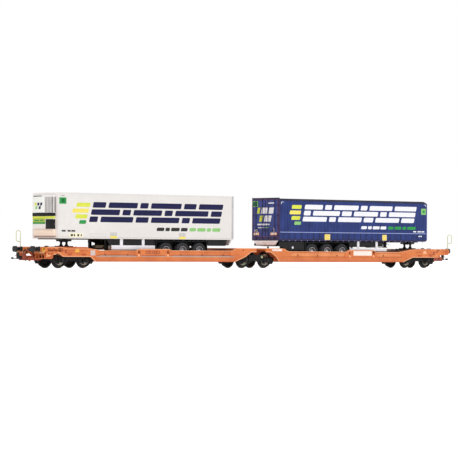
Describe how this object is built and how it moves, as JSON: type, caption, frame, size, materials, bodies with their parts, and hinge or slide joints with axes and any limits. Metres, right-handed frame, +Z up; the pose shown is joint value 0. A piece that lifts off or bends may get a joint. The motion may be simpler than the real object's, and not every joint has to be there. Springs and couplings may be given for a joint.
{
  "type": "articulated pocket wagon with two semi-trailers, 1:87 scale model",
  "caption": "Scale model of an orange articulated pocket wagon on bogies, carrying a white refrigerated semi-trailer and a blue curtain-sided one.",
  "frame": {"origin": "under the middle of the wagon, at the level of the wheel flanges' lowest point; the rail top is 0.7 mm higher", "axes": "+X along the wagon towards the blue trailer's front, +Z up, -Y the side that the picture shows"},
  "size_m": [0.4124, 0.0348, 0.051],
  "materials": {
    "frame_orange": "satin",
    "black_plastic": "matt",
    "wheel_steel": "satin",
    "coupler_red": "matt",
    "rail_yellow": "satin",
    "white_body": "satin",
    "blue_body": "satin",
    "navy_doors": "satin",
    "tyre_black": "matt"
  },
  "bodies": {
    "left_frame": {"left_side_sills": "frame_orange", "left_pocket_floor": "frame_orange", "left_end_deck": "frame_orange", "left_middle_deck": "frame_orange", "left_end_beam": "frame_orange", "left_buffers": "black_plastic", "left_trestle": "black_plastic", "left_handrail": "rail_yellow"},
    "right_frame": {"right_side_sills": "frame_orange", "right_pocket_floor": "frame_orange", "right_end_deck": "frame_orange", "right_middle_deck": "frame_orange", "right_end_beam": "frame_orange", "right_buffers": "black_plastic", "right_trestle": "black_plastic", "right_handrail": "rail_yellow"},
    "left_bogie": {"left_bogie_frame": "black_plastic", "left_axle_boxes": "black_plastic"},
    "middle_bogie": {"middle_bogie_frame": "black_plastic", "middle_axle_boxes": "black_plastic"},
    "right_bogie": {"right_bogie_frame": "black_plastic", "right_axle_boxes": "black_plastic"},
    "left_outer_wheelset": {"left_outer_wheelset": "wheel_steel"},
    "left_inner_wheelset": {"left_inner_wheelset": "wheel_steel"},
    "middle_left_wheelset": {"middle_left_wheelset": "wheel_steel"},
    "middle_right_wheelset": {"middle_right_wheelset": "wheel_steel"},
    "right_inner_wheelset": {"right_inner_wheelset": "wheel_steel"},
    "right_outer_wheelset": {"right_outer_wheelset": "wheel_steel"},
    "left_coupler": {"left_coupler_pocket": "coupler_red", "left_coupler_hook": "black_plastic"},
    "right_coupler": {"right_coupler_pocket": "coupler_red", "right_coupler_hook": "black_plastic"},
    "white_trailer": {"white_floor": "white_body", "white_roof": "white_body", "white_side_walls": "white_body", "white_front_wall": "white_body", "white_rear_doors": "white_body", "white_rear_frame": "white_body", "white_chassis": "black_plastic", "white_landing_legs": "black_plastic", "white_side_guards": "black_plastic", "white_rear_bumper": "black_plastic", "white_cooling_unit": "white_body"},
    "blue_trailer": {"blue_floor": "blue_body", "blue_roof": "blue_body", "blue_side_curtains": "blue_body", "blue_front_wall": "blue_body", "blue_rear_doors": "navy_doors", "blue_rear_frame": "navy_doors", "blue_chassis": "black_plastic", "blue_landing_legs": "black_plastic", "blue_side_guards": "black_plastic", "blue_rear_bumper": "black_plastic"},
    "white_first_axle": {"white_first_axle": "tyre_black"},
    "white_second_axle": {"white_second_axle": "tyre_black"},
    "white_third_axle": {"white_third_axle": "tyre_black"},
    "blue_third_axle": {"blue_third_axle": "tyre_black"},
    "blue_second_axle": {"blue_second_axle": "tyre_black"},
    "blue_first_axle": {"blue_first_axle": "tyre_black"}
  },
  "joints": [
    {"name": "left_bogie_yaw", "type": "hinge", "parent": "left_frame", "child": "left_bogie", "pos_m": [-0.1632, 0, 0.0117], "axis": [0, 0, 1], "range_deg": [-13, 13]},
    {"name": "middle_bogie_yaw", "type": "hinge", "parent": "left_frame", "child": "middle_bogie", "pos_m": [0, 0, 0.0117], "axis": [0, 0, 1], "range_deg": [-13, 13]},
    {"name": "articulation_yaw", "type": "hinge", "parent": "middle_bogie", "child": "right_frame", "pos_m": [0, 0, 0.0129], "axis": [0, 0, 1], "range_deg": [-13, 13]},
    {"name": "right_bogie_yaw", "type": "hinge", "parent": "right_frame", "child": "right_bogie", "pos_m": [0.1632, 0, 0.0117], "axis": [0, 0, 1], "range_deg": [-13, 13]},
    {"name": "left_outer_wheelset_spin", "type": "hinge", "parent": "left_bogie", "child": "left_outer_wheelset", "pos_m": [-0.17355, 0, 0.006], "axis": [0, 1, 0], "continuous": true},
    {"name": "left_inner_wheelset_spin", "type": "hinge", "parent": "left_bogie", "child": "left_inner_wheelset", "pos_m": [-0.15285, 0, 0.006], "axis": [0, 1, 0], "continuous": true},
    {"name": "middle_left_wheelset_spin", "type": "hinge", "parent": "middle_bogie", "child": "middle_left_wheelset", "pos_m": [-0.01035, 0, 0.006], "axis": [0, 1, 0], "continuous": true},
    {"name": "middle_right_wheelset_spin", "type": "hinge", "parent": "middle_bogie", "child": "middle_right_wheelset", "pos_m": [0.01035, 0, 0.006], "axis": [0, 1, 0], "continuous": true},
    {"name": "right_inner_wheelset_spin", "type": "hinge", "parent": "right_bogie", "child": "right_inner_wheelset", "pos_m": [0.15285, 0, 0.006], "axis": [0, 1, 0], "continuous": true},
    {"name": "right_outer_wheelset_spin", "type": "hinge", "parent": "right_bogie", "child": "right_outer_wheelset", "pos_m": [0.17355, 0, 0.006], "axis": [0, 1, 0], "continuous": true},
    {"name": "left_coupler_swing", "type": "hinge", "parent": "left_frame", "child": "left_coupler", "pos_m": [-0.185, 0, 0.0097], "axis": [0, 0, 1], "range_deg": [-12, 12]},
    {"name": "right_coupler_swing", "type": "hinge", "parent": "right_frame", "child": "right_coupler", "pos_m": [0.185, 0, 0.0097], "axis": [0, 0, 1], "range_deg": [-12, 12]},
    {"name": "white_trailer_lift", "type": "slide", "parent": "left_frame", "child": "white_trailer", "axis": [0, 0, 1], "range_m": [0, 0.03]},
    {"name": "white_first_axle_spin", "type": "hinge", "parent": "white_trailer", "child": "white_first_axle", "pos_m": [-0.085, 0, 0.012], "axis": [0, 1, 0], "continuous": true},
    {"name": "white_second_axle_spin", "type": "hinge", "parent": "white_trailer", "child": "white_second_axle", "pos_m": [-0.0699, 0, 0.012], "axis": [0, 1, 0], "continuous": true},
    {"name": "white_third_axle_spin", "type": "hinge", "parent": "white_trailer", "child": "white_third_axle", "pos_m": [-0.0548, 0, 0.012], "axis": [0, 1, 0], "continuous": true},
    {"name": "blue_trailer_lift", "type": "slide", "parent": "right_frame", "child": "blue_trailer", "axis": [0, 0, 1], "range_m": [0, 0.03]},
    {"name": "blue_third_axle_spin", "type": "hinge", "parent": "blue_trailer", "child": "blue_third_axle", "pos_m": [0.0523, 0, 0.012], "axis": [0, 1, 0], "continuous": true},
    {"name": "blue_second_axle_spin", "type": "hinge", "parent": "blue_trailer", "child": "blue_second_axle", "pos_m": [0.0673, 0, 0.012], "axis": [0, 1, 0], "continuous": true},
    {"name": "blue_first_axle_spin", "type": "hinge", "parent": "blue_trailer", "child": "blue_first_axle", "pos_m": [0.0823, 0, 0.012], "axis": [0, 1, 0], "continuous": true}
  ]
}
